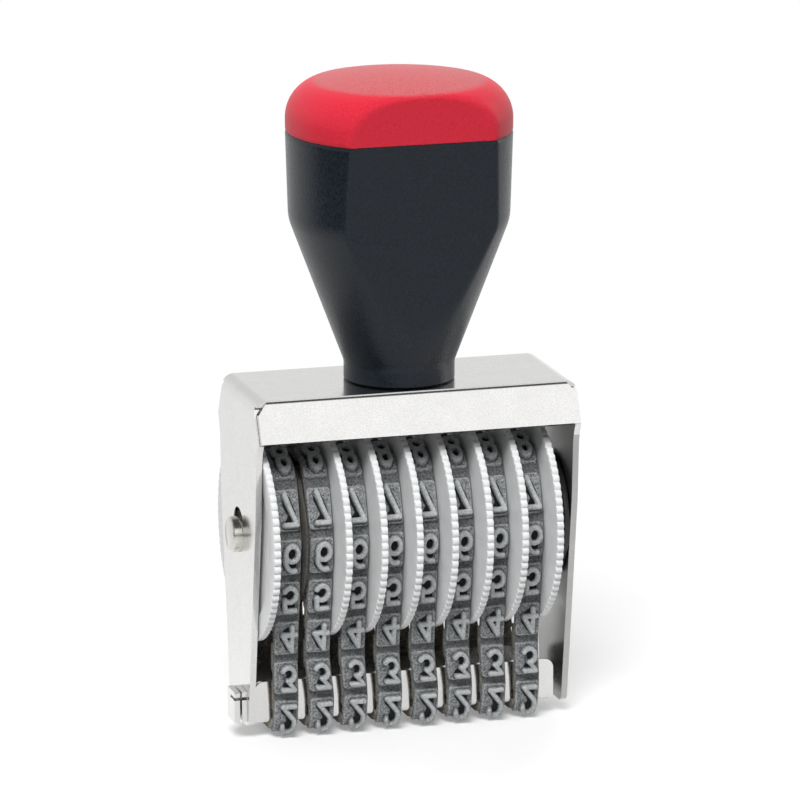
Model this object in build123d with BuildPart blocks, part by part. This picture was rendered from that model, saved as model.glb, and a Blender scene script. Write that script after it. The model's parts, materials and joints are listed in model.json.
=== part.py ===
from build123d import *
import math
import os

# Numbering machine: eight setting wheels on one axle turn eight endless rubber
# type belts round a bridge at the foot of a bent steel housing.  A plastic grip
# with a coloured cap stands on the housing.
# X runs along the axle, -Y is the front, Z is up, and the type faces that print
# lie on Z = 0.  All sizes are in millimetres.

os.makedirs("parts", exist_ok=True)

# ---- Type belts ------------------------------------------------------------
belt_count = 8
belt_width = 3.8
belt_close_clearance = 0.1  # belt to the flange or divider on its right
belt_free_clearance = 0.35  # belt to the flange on its left
character_pitch = 6.2       # character to character, along the belt
characters = 15             # characters on one belt
carrier_thickness = 0.9     # the band under the characters
type_height = 1.3           # the characters above the band
groove_width = 0.9          # gap between two character pads
notch_width = 1.9           # inside the band, one under each character
notch_depth = 0.8

# ---- Setting wheels --------------------------------------------------------
cog_count = 9               # cogs on a wheel's drum, one per character
cog_clearance = 0.15        # round a cog in its notch
drum_clearance = 0.08       # drum to band
rim_proud = 5.0             # serrated rim beyond the type faces on the drum
flange_thickness = 1.0
serrations = 84
serration_depth = 0.45
wheel_gap = 0.2             # wheel to wheel, along the axle
first_drum_extra = 0.6      # wheel 1's drum is this much longer than the others
web_recess_radius = 12.4    # hollow in the free face of a flange
web_recess_depth = 0.35
running_clearance = 0.05    # wheel bore to axle, on the radius

# ---- Axle, divider and end spacer ------------------------------------------
axle_diameter = 6.0
axle_end_diameter = 5.2
axle_left_stub = 1.4        # proud of the left cheek
axle_right_stub = 1.95      # proud of the right cheek
axle_end_chamfer = 0.6
axle_side_play = 0.1        # axle shoulder to cheek, at each end
divider_proud = 0.5         # divider beyond the type faces on the drum
divider_thickness = 0.5
spacer_length = 2.8
spacer_disc_radius = 9.0
spacer_disc_thickness = 0.8
spacer_boss_radius = 4.8
spacer_hole_diameter = 1.4
spacer_hole_circle = 7.6
spacer_holes = 6

# ---- Bridge ----------------------------------------------------------------
bridge_half_depth = 4.6     # belt to belt, front to rear, less the belts
bridge_wall = 0.8
bridge_height = 6.3
bridge_corner_radius = 1.0
bridge_end_gap = 0.15       # left end of the bridge to its cheek
bridge_right_gap = 1.1      # right end of the bridge to its cheek
bridge_top_corner = 1.4     # rounding of the wall's upper corners
lug_height = 4.5
lug_rise = 0.5              # lug's lower edge above the bridge's underside
lug_length = 3.9
lug_leaf_gap = 0.3
lug_slit_height = 0.45
lug_slit_drop = 0.75        # slit below the lug's upper edge
lug_slit_depth = 2.4
tab_height = 3.0            # plain tabs that locate the bridge in the cheeks
slot_clearance = 0.05

# ---- Housing ---------------------------------------------------------------
sheet = 0.9
top_half_depth = 9.1
roof_clearance = 5.0        # wheel rims to the underside of the roof
lip_drop = 5.7
lip_flare = 2.75
lip_end_margin = 0.35       # end of a lip inside the cheek's outer face
lip_slit = 0.15             # lip to the edges of the cheeks behind it
lip_bend_radius = 0.9       # outside radius where the roof turns into a lip
roof_bend_radius = 1.9      # outside radius where the roof turns into a cheek
cheek_foot_height = 2.0
cheek_foot_margin = 0.3     # foot of a cheek beyond the bridge, front and rear
cheek_foot_radius = 1.2
cheek_waist_half_depth = 9.4
cheek_waist_rise = 4.0      # waist above the axle
cheek_neck_half_depth = 9.8
cheek_neck_drop = 4.0       # neck below the lip's lower edge
axle_slot_rise = 1.3        # free height of the slot above the axle

# ---- Grip, cap and screw ---------------------------------------------------
neck_radius = 8.0
neck_height = 2.8
cone_height = 20.8          # neck to shoulder
shoulder_radius = 15.9
grip_height = 36.3
grip_radius = 16.3
shoulder_fillet = 7.0
flat_depth = 12.1           # grip axis to a flat, at the seam
flat_tilt = 4.3             # degrees, the flats lean in towards the neck
cap_height = 8.3
cap_edge_radius = 5.6
cap_crown_radius = 70.0     # the gently domed top
spigot_radius = 9.0
spigot_height = 5.0
spigot_clearance = 0.1
screw_radius = 2.0
screw_length = 14.0
screw_head_radius = 3.6
screw_head_height = 2.2
screw_head_chamfer = 0.7
screw_slot_width = 0.9
screw_slot_depth = 1.0
screw_clearance = 0.1
peg_radius = 1.5
peg_offset = 5.6
peg_clearance = 0.1

# ---- Belt path: a big arc on the drum, two small ones on the bridge --------
pitch_radius = cog_count * character_pitch / (2 * math.pi)
neutral = carrier_thickness / 2
belt_thickness = carrier_thickness + type_height
drum_inner = pitch_radius - neutral
type_radius = drum_inner + belt_thickness
wheel_radius = type_radius + rim_proud
divider_radius = type_radius + divider_proud
bridge_z = belt_thickness
corner_y = bridge_half_depth - bridge_corner_radius
corner_z = bridge_z + bridge_corner_radius
corner_neutral = bridge_corner_radius + neutral
belt_length = characters * character_pitch


def strand_lean(centre_rise):
    """Angle between a belt's straight strand and the vertical, in radians."""
    between = math.hypot(corner_y, centre_rise)
    return math.asin((pitch_radius - corner_neutral) / between) - math.atan2(corner_y, centre_rise)


def loop_length(centre_rise):
    """Length of the belt's neutral line when the axle is this far above the corners."""
    lean = strand_lean(centre_rise)
    between = math.hypot(corner_y, centre_rise)
    strand = math.sqrt(between**2 - (pitch_radius - corner_neutral) ** 2)
    drum_arc = pitch_radius * (math.pi + 2 * lean)
    corner_arcs = 2 * corner_neutral * (math.pi / 2 - lean)
    return drum_arc + corner_arcs + 2 * strand + 2 * corner_y


# The axle stands where the belt is just taut.  The loop grows steadily with it.
low = pitch_radius
high = belt_length
while high - low > 1e-7:
    middle = (low + high) / 2
    if loop_length(middle) < belt_length:
        low = middle
    else:
        high = middle
axle_z = corner_z + high
lean = math.degrees(strand_lean(high))


def belt_loop(stand_off):
    """Closed outline at this distance outside the neutral line, from the bottom centre."""
    big = pitch_radius + stand_off
    small = corner_neutral + stand_off
    with BuildLine() as outline:
        Line((0, corner_z - small), (-corner_y, corner_z - small))
        front_corner = CenterArc((-corner_y, corner_z), small, 270, lean - 90)
        drum = CenterArc((0, axle_z), big, 180 + lean, -180 - 2 * lean)
        rear_corner = CenterArc((corner_y, corner_z), small, -lean, lean - 90)
        Line(front_corner @ 1, drum @ 0)
        Line(drum @ 1, rear_corner @ 0)
        Line(rear_corner @ 1, (0, corner_z - small))
    return outline.wire()


with BuildLine() as front_half:
    foot_line = Line((0, corner_z - corner_neutral), (-corner_y, corner_z - corner_neutral))
    corner_arc = CenterArc((-corner_y, corner_z), corner_neutral, 270, lean - 90)
    drum_arc = CenterArc((0, axle_z), pitch_radius, 180 + lean, -90 - lean)
    Line(corner_arc @ 1, drum_arc @ 0)
neutral_path = front_half.wire()


def along_belt(count, outward):
    """Where a cutter sits that many characters round the belt, that far outside the neutral line."""
    rear = count > characters / 2
    steps = characters - count if rear else count
    where = 2 * steps / characters
    point = neutral_path @ where
    tangent = neutral_path % where
    across = Vector(-tangent.Y, tangent.X)
    centre = point + across * outward
    angle = math.degrees(math.atan2(tangent.Y, tangent.X))
    if rear:
        return Location((-centre.X, centre.Y), -angle)
    return Location((centre.X, centre.Y), angle)


# ---- Stack along the axle: it sets how wide the housing is ------------------
drum_width = belt_free_clearance + belt_width + belt_close_clearance - wheel_gap
wheel_width = flange_thickness + drum_width
belt_pitch_x = wheel_width + wheel_gap
wheels_length = belt_count * belt_pitch_x + first_drum_extra + divider_thickness + wheel_gap
cheek_inner = (wheel_gap + wheels_length + spacer_length + axle_side_play) / 2
housing_half_width = cheek_inner + sheet
stack_left = -cheek_inner + wheel_gap
divider_left = stack_left + belt_pitch_x + first_drum_extra
second_left = divider_left + divider_thickness + wheel_gap
wheel_left = [stack_left] + [second_left + k * belt_pitch_x for k in range(belt_count - 1)]
spacer_left = stack_left + wheels_length
spacer_right = spacer_left + spacer_length


def drum_left(number):
    """Left end of a wheel's drum: wheel 1 has its flange on the left, the rest on the right."""
    if number == 1:
        return wheel_left[0] + flange_thickness
    return wheel_left[number - 1]


def flange_left(number):
    if number == 1:
        return wheel_left[0]
    return wheel_left[number - 1] + drum_width


def drum_length(number):
    return drum_width + first_drum_extra if number == 1 else drum_width


def belt_left(number):
    """Left edge of a belt, which lies close to the flange or divider on its right."""
    stop = divider_left if number == 1 else flange_left(number)
    return stop - belt_close_clearance - belt_width


# ---- Belts -----------------------------------------------------------------
for number in range(1, belt_count + 1):
    with BuildPart() as belt:
        with BuildSketch(Plane.YZ.offset(belt_left(number))):
            make_face(belt_loop(neutral + type_height))
            make_face(belt_loop(-neutral), mode=Mode.SUBTRACT)
            for k in range(characters):
                with Locations(along_belt(k + 0.5, neutral + type_height)):
                    Rectangle(groove_width, 2 * type_height, mode=Mode.SUBTRACT)
                with Locations(along_belt(k, -neutral)):
                    Rectangle(notch_width, 2 * notch_depth, mode=Mode.SUBTRACT)
        extrude(amount=belt_width)
    belt.part.label = f"belt_{number}"
    export_step(belt.part, f"parts/belt_{number}.step")

# ---- Setting wheels --------------------------------------------------------
drum_radius = drum_inner - drum_clearance
cog_height = notch_depth - cog_clearance + drum_clearance
cog_width = notch_width - 2 * cog_clearance
root_radius = wheel_radius - serration_depth
half_cog_angle = 180 / cog_count
rim_points = []
for k in range(2 * serrations):
    angle = math.pi * k / serrations
    radius = root_radius if k % 2 else wheel_radius
    rim_points.append((radius * math.cos(angle), axle_z + radius * math.sin(angle)))
for number in range(1, belt_count + 1):
    with BuildPart() as wheel:
        with BuildSketch(Plane.YZ.offset(flange_left(number))):
            with BuildLine():
                Polyline(*rim_points, close=True)
            make_face()
        extrude(amount=flange_thickness)
        with BuildSketch(Plane.YZ.offset(drum_left(number))):
            with Locations((0, axle_z)):
                Circle(drum_radius)
                with PolarLocations(drum_radius, cog_count, start_angle=90 + half_cog_angle):
                    Rectangle(2 * cog_height, cog_width)
        extrude(amount=drum_length(number))
        with BuildSketch(Plane.YZ.offset(wheel_left[number - 1])):
            with Locations((0, axle_z)):
                Circle(axle_diameter / 2 + running_clearance)
        extrude(amount=flange_thickness + drum_length(number), mode=Mode.SUBTRACT)
        inward = 1 if number == 1 else -1
        free_face = flange_left(number) if number == 1 else flange_left(number) + flange_thickness
        with BuildSketch(Plane.YZ.offset(free_face)):
            with Locations((0, axle_z)):
                Circle(web_recess_radius)
        extrude(amount=inward * web_recess_depth, mode=Mode.SUBTRACT)
    wheel.part.label = f"wheel_{number}"
    export_step(wheel.part, f"parts/wheel_{number}.step")

# ---- Axle: a thick middle held between the cheeks by its shoulders ---------
axle_half = cheek_inner - axle_side_play
with BuildPart() as axle:
    with BuildSketch(Plane.YZ.offset(-axle_half)):
        with Locations((0, axle_z)):
            Circle(axle_diameter / 2)
    extrude(amount=2 * axle_half)
    with BuildSketch(Plane.YZ.offset(-housing_half_width - axle_left_stub)):
        with Locations((0, axle_z)):
            Circle(axle_end_diameter / 2)
    extrude(amount=2 * housing_half_width + axle_left_stub + axle_right_stub)
    end_faces = axle.faces().sort_by(Axis.X)
    chamfer([end_faces[0].edges()[0], end_faces[-1].edges()[0]], axle_end_chamfer)
axle.part.label = "axle"
export_step(axle.part, "parts/axle.step")

# ---- Divider between belts 1 and 2, which have no flange between them ------
with BuildPart() as belt_divider:
    with BuildSketch(Plane.YZ.offset(divider_left)):
        with Locations((0, axle_z)):
            Circle(divider_radius)
            Circle(axle_diameter / 2 + running_clearance, mode=Mode.SUBTRACT)
    extrude(amount=divider_thickness)
belt_divider.part.label = "belt_divider"
export_step(belt_divider.part, "parts/belt_divider.step")

# ---- End spacer: takes up the rest of the axle beside the last wheel -------
spacer_disc_left = spacer_right - spacer_disc_thickness
with BuildPart() as end_spacer:
    with BuildSketch(Plane.YZ.offset(spacer_left)):
        with Locations((0, axle_z)):
            Circle(spacer_boss_radius)
            Circle(axle_diameter / 2 + running_clearance, mode=Mode.SUBTRACT)
    extrude(amount=spacer_length)
    with BuildSketch(Plane.YZ.offset(spacer_disc_left)):
        with Locations((0, axle_z)):
            Circle(spacer_disc_radius)
            Circle(axle_diameter / 2 + running_clearance, mode=Mode.SUBTRACT)
            with PolarLocations(spacer_hole_circle, spacer_holes):
                Circle(spacer_hole_diameter / 2, mode=Mode.SUBTRACT)
    extrude(amount=spacer_disc_thickness)
end_spacer.part.label = "end_spacer"
export_step(end_spacer.part, "parts/end_spacer.step")

# ---- Bridge: a channel with a folded lug on the left and two plain tabs ----
bridge_left = -cheek_inner + bridge_end_gap
bridge_right = cheek_inner - bridge_right_gap
bridge_length = bridge_right - bridge_left
front_wall_y = -bridge_half_depth
rear_wall_y = bridge_half_depth - bridge_wall
lug_z = bridge_z + lug_rise
lug_inner_x = -housing_half_width - slot_clearance
lug_middle_x = lug_inner_x - bridge_wall
lug_outer_x = lug_middle_x - lug_leaf_gap
lug_far_x = lug_outer_x - bridge_wall
lug_rear_y = front_wall_y + lug_length
with BuildPart() as bridge:
    with BuildSketch(Plane.YZ.offset(bridge_left)):
        with Locations((0, bridge_z + bridge_height / 2)):
            Rectangle(2 * bridge_half_depth, bridge_height)
    extrude(amount=bridge_length)
    foot_edges = bridge.edges().filter_by(Axis.X).group_by(Axis.Z)[0]
    fillet(foot_edges, bridge_corner_radius)
    with BuildSketch(Plane.YZ.offset(bridge_left)):
        with Locations((0, bridge_z + bridge_wall + bridge_height / 2)):
            Rectangle(2 * (bridge_half_depth - bridge_wall), bridge_height)
    extrude(amount=bridge_length, mode=Mode.SUBTRACT)
    upper_corners = bridge.edges().filter_by(Axis.Y).group_by(Axis.Z)[-1]
    fillet(upper_corners, bridge_top_corner)
    with BuildSketch(Plane.XY.offset(lug_z)):
        with BuildLine():
            Polyline(
                (bridge_left, front_wall_y),
                (lug_middle_x, front_wall_y),
                (lug_middle_x, lug_rear_y - bridge_wall),
                (lug_outer_x, lug_rear_y - bridge_wall),
                (lug_outer_x, front_wall_y),
                (lug_far_x, front_wall_y),
                (lug_far_x, lug_rear_y),
                (lug_inner_x, lug_rear_y),
                (lug_inner_x, front_wall_y + bridge_wall),
                (bridge_left, front_wall_y + bridge_wall),
                close=True,
            )
        make_face()
    extrude(amount=lug_height)
    lug_slit_z = lug_z + lug_height - lug_slit_drop - lug_slit_height
    with BuildSketch(Plane.XY.offset(lug_slit_z)):
        with Locations(((lug_inner_x + lug_far_x) / 2, front_wall_y + lug_slit_depth / 2)):
            Rectangle(lug_inner_x - lug_far_x, lug_slit_depth)
    extrude(amount=lug_slit_height, mode=Mode.SUBTRACT)
    with BuildSketch(Plane.XY.offset(lug_z)):
        with Locations((0, rear_wall_y + bridge_wall / 2)):
            Rectangle(2 * housing_half_width, bridge_wall)
    extrude(amount=tab_height)
bridge.part.label = "bridge"
export_step(bridge.part, "parts/bridge.step")

# ---- Housing: roof, two lips and two cheeks bent from one sheet ------------
roof_z = axle_z + wheel_radius + roof_clearance + sheet
lip_z = roof_z - lip_drop
lip_half_depth = top_half_depth + lip_flare
lip_length = math.hypot(lip_drop, lip_flare)
lip_in_y = sheet * lip_drop / lip_length
lip_in_z = sheet * lip_flare / lip_length
underside_half_depth = top_half_depth - sheet * (lip_length - lip_flare) / lip_drop
foot = (bridge_half_depth + cheek_foot_margin, cheek_foot_height)
waist = (cheek_waist_half_depth, axle_z + cheek_waist_rise)
neck = (cheek_neck_half_depth, lip_z - cheek_neck_drop)
lip_outside = (lip_half_depth, lip_z)
lip_inside = (lip_half_depth - lip_in_y, lip_z - lip_in_z)
slit_y = lip_slit * lip_drop / lip_length
slit_z = lip_slit * lip_flare / lip_length
slit_foot = (lip_inside[0] - slit_y, lip_inside[1] - slit_z)
slit_head = (underside_half_depth - slit_y, roof_z - sheet)
lip_half_length = housing_half_width - lip_end_margin
lip_shoulder = housing_half_width - roof_bend_radius
with BuildPart() as lips:
    with BuildSketch(Plane.YZ) as lip_side:
        with BuildLine():
            Polyline(
                (0, roof_z),
                (top_half_depth, roof_z),
                lip_outside,
                lip_inside,
                (underside_half_depth, roof_z - sheet),
                (0, roof_z - sheet),
            )
            mirror(about=Plane.YZ)
        make_face()
        fillet(lip_side.vertices().group_by(Axis.Y)[-1], lip_bend_radius)
    extrude(amount=lip_half_length, both=True)
    with BuildSketch(Plane.XZ):
        with BuildLine():
            Polyline(
                (0, roof_z),
                (lip_shoulder, roof_z),
                (lip_half_length, roof_z - roof_bend_radius),
                (lip_half_length, lip_inside[1]),
                (0, lip_inside[1]),
            )
            mirror(about=Plane.YZ)
        make_face()
    extrude(amount=lip_half_depth, both=True, mode=Mode.INTERSECT)

with BuildPart() as housing:
    with BuildSketch(Plane.XZ) as bent_outside:
        with Locations((0, roof_z / 2)):
            Rectangle(2 * housing_half_width, roof_z)
        fillet(bent_outside.vertices().group_by(Axis.Y)[-1], roof_bend_radius)
    extrude(amount=lip_half_depth, both=True)
    with BuildSketch(Plane.XZ) as bent_inside:
        with Locations((0, (roof_z - sheet) / 2)):
            Rectangle(2 * cheek_inner, roof_z - sheet)
        fillet(bent_inside.vertices().group_by(Axis.Y)[-1], roof_bend_radius - sheet)
    extrude(amount=lip_half_depth, both=True, mode=Mode.SUBTRACT)
    with BuildSketch(Plane.YZ):
        with BuildLine():
            Line((0, cheek_foot_height), foot)
            Line(foot, waist)
            Line(waist, neck)
            TangentArc(neck, slit_foot, tangent=Vector(*neck) - Vector(*waist))
            Polyline(
                slit_foot,
                slit_head,
                (top_half_depth, roof_z - sheet),
                (top_half_depth, roof_z),
                (0, roof_z),
            )
            mirror(about=Plane.YZ)
        make_face()
    extrude(amount=housing_half_width, both=True, mode=Mode.INTERSECT)
    add(lips)
    foot_corners = housing.edges().filter_by(Axis.X).group_by(Axis.Z)[0]
    fillet(foot_corners, cheek_foot_radius)
    for side in (-1, 1):
        with BuildSketch(Plane.YZ.offset(side * (housing_half_width - sheet / 2))):
            with Locations((0, axle_z + axle_slot_rise / 2)):
                SlotCenterToCenter(
                    axle_slot_rise, axle_end_diameter + 2 * slot_clearance, rotation=90
                )
            with Locations((rear_wall_y + bridge_wall / 2, lug_z + tab_height / 2)):
                Rectangle(bridge_wall + 2 * slot_clearance, tab_height + 2 * slot_clearance)
        extrude(amount=sheet, both=True, mode=Mode.SUBTRACT)
    with BuildSketch(Plane.YZ.offset(-housing_half_width)):
        with Locations((front_wall_y + bridge_wall / 2, lug_z + lug_height / 2)):
            Rectangle(bridge_wall + 2 * slot_clearance, lug_height + 2 * slot_clearance)
    extrude(amount=sheet, mode=Mode.SUBTRACT)
    with BuildSketch(Plane.XY.offset(roof_z - sheet)):
        Circle(screw_radius + screw_clearance)
        with Locations((-peg_offset, 0), (peg_offset, 0)):
            Circle(peg_radius + peg_clearance)
    extrude(amount=sheet, mode=Mode.SUBTRACT)
housing.part.label = "housing"
export_step(housing.part, "parts/housing.step")

# ---- Grip and cap: one turned outline cut by two leaning flats -------------
seam_z = roof_z + grip_height
cone_top_z = roof_z + neck_height + cone_height
flat_slope = math.tan(math.radians(flat_tilt))


def flat_cutter():
    """Everything outside the two flats, as an outline in the plane across the axle."""
    reach = 3 * grip_radius
    above = cap_height
    below = grip_height
    with BuildSketch(Plane.YZ.offset(-reach)) as outside:
        with BuildLine():
            Polyline(
                (flat_depth - below * flat_slope, seam_z - below),
                (flat_depth + above * flat_slope, seam_z + above),
                (reach, seam_z + above),
                (reach, seam_z - below),
                close=True,
            )
        make_face()
        mirror(about=Plane.YZ)
    return extrude(outside.sketch, amount=2 * reach)


cutter = flat_cutter()
with BuildPart() as grip:
    with BuildSketch(Plane.XZ):
        with BuildLine() as grip_outline:
            Polyline(
                (0, roof_z),
                (neck_radius, roof_z),
                (neck_radius, roof_z + neck_height),
                (shoulder_radius, cone_top_z),
                (grip_radius, seam_z),
                (0, seam_z),
                close=True,
            )
        make_face()
        shoulder = grip_outline.vertices().sort_by_distance((shoulder_radius, cone_top_z))
        fillet(shoulder[0], shoulder_fillet)
    revolve(axis=Axis.Z)
    add(cutter, mode=Mode.SUBTRACT)
    with BuildSketch(Plane.XY.offset(seam_z)):
        Circle(spigot_radius + spigot_clearance)
    extrude(amount=-spigot_height - spigot_clearance, mode=Mode.SUBTRACT)
    with BuildSketch(Plane.XY.offset(roof_z)):
        Circle(screw_radius + screw_clearance)
    extrude(amount=screw_length, mode=Mode.SUBTRACT)
    with BuildSketch(Plane.XY.offset(roof_z)):
        with Locations((-peg_offset, 0), (peg_offset, 0)):
            Circle(peg_radius)
    extrude(amount=-sheet)
grip.part.label = "grip"
export_step(grip.part, "parts/grip.step")

cap_top_z = seam_z + cap_height
edge_centre_x = grip_radius - cap_edge_radius
crown_to_edge = cap_crown_radius - cap_edge_radius
edge_angle = math.degrees(math.acos(edge_centre_x / crown_to_edge))
edge_centre_z = cap_top_z - cap_crown_radius + math.sqrt(crown_to_edge**2 - edge_centre_x**2)
with BuildPart() as cap:
    with BuildSketch(Plane.XZ):
        with BuildLine():
            Line((grip_radius, seam_z), (grip_radius, edge_centre_z))
            CenterArc((edge_centre_x, edge_centre_z), cap_edge_radius, 0, edge_angle)
            crown_centre = (0, cap_top_z - cap_crown_radius)
            CenterArc(crown_centre, cap_crown_radius, edge_angle, 90 - edge_angle)
            Polyline((0, cap_top_z), (0, seam_z), (grip_radius, seam_z))
        make_face()
    revolve(axis=Axis.Z)
    add(cutter, mode=Mode.SUBTRACT)
    with BuildSketch(Plane.XY.offset(seam_z)):
        Circle(spigot_radius)
    extrude(amount=-spigot_height)
cap.part.label = "cap"
export_step(cap.part, "parts/cap.step")

# ---- Screw: holds the grip from inside the housing -------------------------
screw_seat_z = roof_z - sheet
with BuildPart() as grip_screw:
    with BuildSketch(Plane.XY.offset(screw_seat_z)):
        Circle(screw_radius)
    extrude(amount=screw_length)
    with BuildSketch(Plane.XY.offset(screw_seat_z)):
        Circle(screw_head_radius)
    extrude(amount=-screw_head_height)
    head_rim = grip_screw.edges().filter_by(GeomType.CIRCLE).group_by(Axis.Z)[0]
    chamfer(head_rim, screw_head_chamfer)
    with BuildSketch(Plane.XY.offset(screw_seat_z - screw_head_height)):
        Rectangle(2 * screw_head_radius, screw_slot_width)
    extrude(amount=screw_slot_depth, mode=Mode.SUBTRACT)
grip_screw.part.label = "grip_screw"
export_step(grip_screw.part, "parts/grip_screw.step")
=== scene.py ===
import json
import math

import bmesh
import bpy
import numpy as np
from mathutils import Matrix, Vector


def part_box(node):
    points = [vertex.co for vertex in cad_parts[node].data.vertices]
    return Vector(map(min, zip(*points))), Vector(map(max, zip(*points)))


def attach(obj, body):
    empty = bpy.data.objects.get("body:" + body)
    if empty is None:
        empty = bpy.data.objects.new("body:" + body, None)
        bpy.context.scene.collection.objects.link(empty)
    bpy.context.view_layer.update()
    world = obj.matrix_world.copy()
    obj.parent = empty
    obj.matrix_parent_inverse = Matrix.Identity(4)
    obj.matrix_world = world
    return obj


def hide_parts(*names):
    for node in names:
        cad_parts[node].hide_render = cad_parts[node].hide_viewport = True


# The looks of a numbering machine.  Lengths are millimetres in the frame of the solids
# (X along the axle, -Y the front, Z up), and each mesh is written in metres.  Only the
# studio's floor and lamps are given in metres.
MM = 0.001

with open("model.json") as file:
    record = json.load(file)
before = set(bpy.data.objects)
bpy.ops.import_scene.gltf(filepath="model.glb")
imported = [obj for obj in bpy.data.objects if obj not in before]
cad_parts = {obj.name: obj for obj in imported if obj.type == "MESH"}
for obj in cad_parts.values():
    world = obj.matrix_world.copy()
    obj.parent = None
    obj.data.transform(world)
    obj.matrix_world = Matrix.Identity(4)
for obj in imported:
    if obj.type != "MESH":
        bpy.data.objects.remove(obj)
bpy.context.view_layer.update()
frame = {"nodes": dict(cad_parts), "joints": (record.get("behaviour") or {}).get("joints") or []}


def node_box(name):
    """A node's lowest and highest corners at rest."""
    low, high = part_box(name)
    return np.array(low) / MM, np.array(high) / MM


# ---- Places and sizes read from the frame ----------------------------------
BELTS = sum(name.startswith("belt_") and name[5:].isdigit() for name in frame["nodes"])
AXLE_Z = frame["joints"][0]["pos_m"][2] / MM
grip_high = node_box("grip")[1]
housing_high = node_box("housing")[1]
axle_low, axle_high = node_box("axle")
divider_low, divider_high = node_box("belt_divider")
bridge_low, bridge_high = node_box("bridge")
wheel_low, wheel_high = node_box("wheel_2")
belt_low, belt_high = node_box("belt_2")
ROOF_Z = housing_high[2]
HOUSING_HALF_WIDTH = housing_high[0]
SEAM_Z = grip_high[2]
CAP_TOP_Z = node_box("cap")[1][2]
GRIP_RADIUS = grip_high[0]
FLAT_DEPTH = grip_high[1]
WHEEL_RADIUS = (wheel_high[2] - wheel_low[2]) / 2
BELT_WIDTH = belt_high[0] - belt_low[0]
TYPE_RADIUS = belt_high[1]
BELT_THICKNESS = bridge_low[2]
BRIDGE_HALF_DEPTH = bridge_high[1]
DIVIDER_RADIUS = divider_high[1]

# ---- Sizes of the looks, which the frame doesn't give ----------------------
CHARACTERS = 15
CHARACTER_PITCH = 6.2
CARRIER = 0.9               # thickness of the band under the pads
BRIDGE_CORNER = 1.0
NOTCH_WIDTH = 1.9
NOTCH_DEPTH = 0.8
COGS = 9
SERRATIONS = 84
SERRATION_DEPTH = 0.34
FLANGE = 1.0                # thickness of a wheel's flange
BORE_RADIUS = 3.05          # of the wheels and the divider
STUB_RADIUS = 2.6           # of the axle, outside the cheeks
SHEET = 0.9
NECK_RADIUS = 8.0
NECK_HEIGHT = 2.8
CONE_HEIGHT = 20.8
SHOULDER_RADIUS = 15.9
SHOULDER_FILLET = 7.0
FLAT_TILT = math.tan(math.radians(4.3))
SEAM_CHAMFER = 0.16         # of the grip and the cap where they meet
CAP_EDGE = 5.6              # radius of the arc at the cap's edge
CAP_CROWN = 70.0            # radius of the arc over the cap's top


# ============================================================================
# Mesh helpers
# ============================================================================
def grid_faces(rows, columns, wrap_rows=False, wrap_columns=False):
    """Quads of a grid of points stored row by row."""
    r = np.arange(rows if wrap_rows else rows - 1)
    c = np.arange(columns if wrap_columns else columns - 1)
    rr, cc = np.meshgrid(r, c, indexing="ij")
    r2, c2 = (rr + 1) % rows, (cc + 1) % columns
    corners = [rr * columns + cc, rr * columns + c2, r2 * columns + c2, r2 * columns + cc]
    return np.stack(corners, -1).reshape(-1, 4)


def new_mesh(name, points, faces, material, sharp_angle=None, attributes=None):
    """A smooth-shaded object from points in millimetres.

    attributes are numbers at its points, by name, for its material to read."""
    mesh = bpy.data.meshes.new(name)
    places = (np.asarray(points, float) * MM).tolist()
    mesh.from_pydata(places, [], [list(map(int, f)) for f in faces])
    mesh.validate()
    mesh.polygons.foreach_set("use_smooth", [True] * len(mesh.polygons))
    if sharp_angle:
        mesh.set_sharp_from_angle(angle=math.radians(sharp_angle))
    for key, values in (attributes or {}).items():
        layer = mesh.attributes.new(key, "FLOAT", "POINT")
        layer.data.foreach_set("value", np.asarray(values, np.float32))
    obj = bpy.data.objects.new(name, mesh)
    obj.data.materials.append(material)
    bpy.context.scene.collection.objects.link(obj)
    return obj


def place(obj, body, slot, *nodes):
    """The piece rides on a body and stands for solids of the frame; slot is not used."""
    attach(obj, body)
    if nodes:
        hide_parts(*nodes)
    return obj


def lathe_x(profile, samples):
    """Points and quads of a closed profile of (x, radius) turned about the axle."""
    profile = np.asarray(profile, float)
    angles = np.linspace(0, 2 * math.pi, samples, endpoint=False)
    x = np.repeat(profile[:, :1], samples, 1)
    y = profile[:, 1:] * np.cos(angles)[None]
    z = AXLE_Z + profile[:, 1:] * np.sin(angles)[None]
    points = np.stack([x, y, z], -1).reshape(-1, 3)
    return points, grid_faces(len(profile), samples, True, True)


def arc_points(centre, radius, start, end, count):
    """Points of an arc, angles in degrees, as (across, up)."""
    a = np.radians(np.linspace(start, end, count))
    return [(centre[0] + radius * math.cos(t), centre[1] + radius * math.sin(t)) for t in a]


# ============================================================================
# Materials
# ============================================================================
def set_range(node, *limits):
    """Sets a Map Range node's four limits: from low, from high, to low, to high."""
    for key, number in zip(("From Min", "From Max", "To Min", "To Max"), limits):
        node.inputs[key].default_value = number


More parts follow.
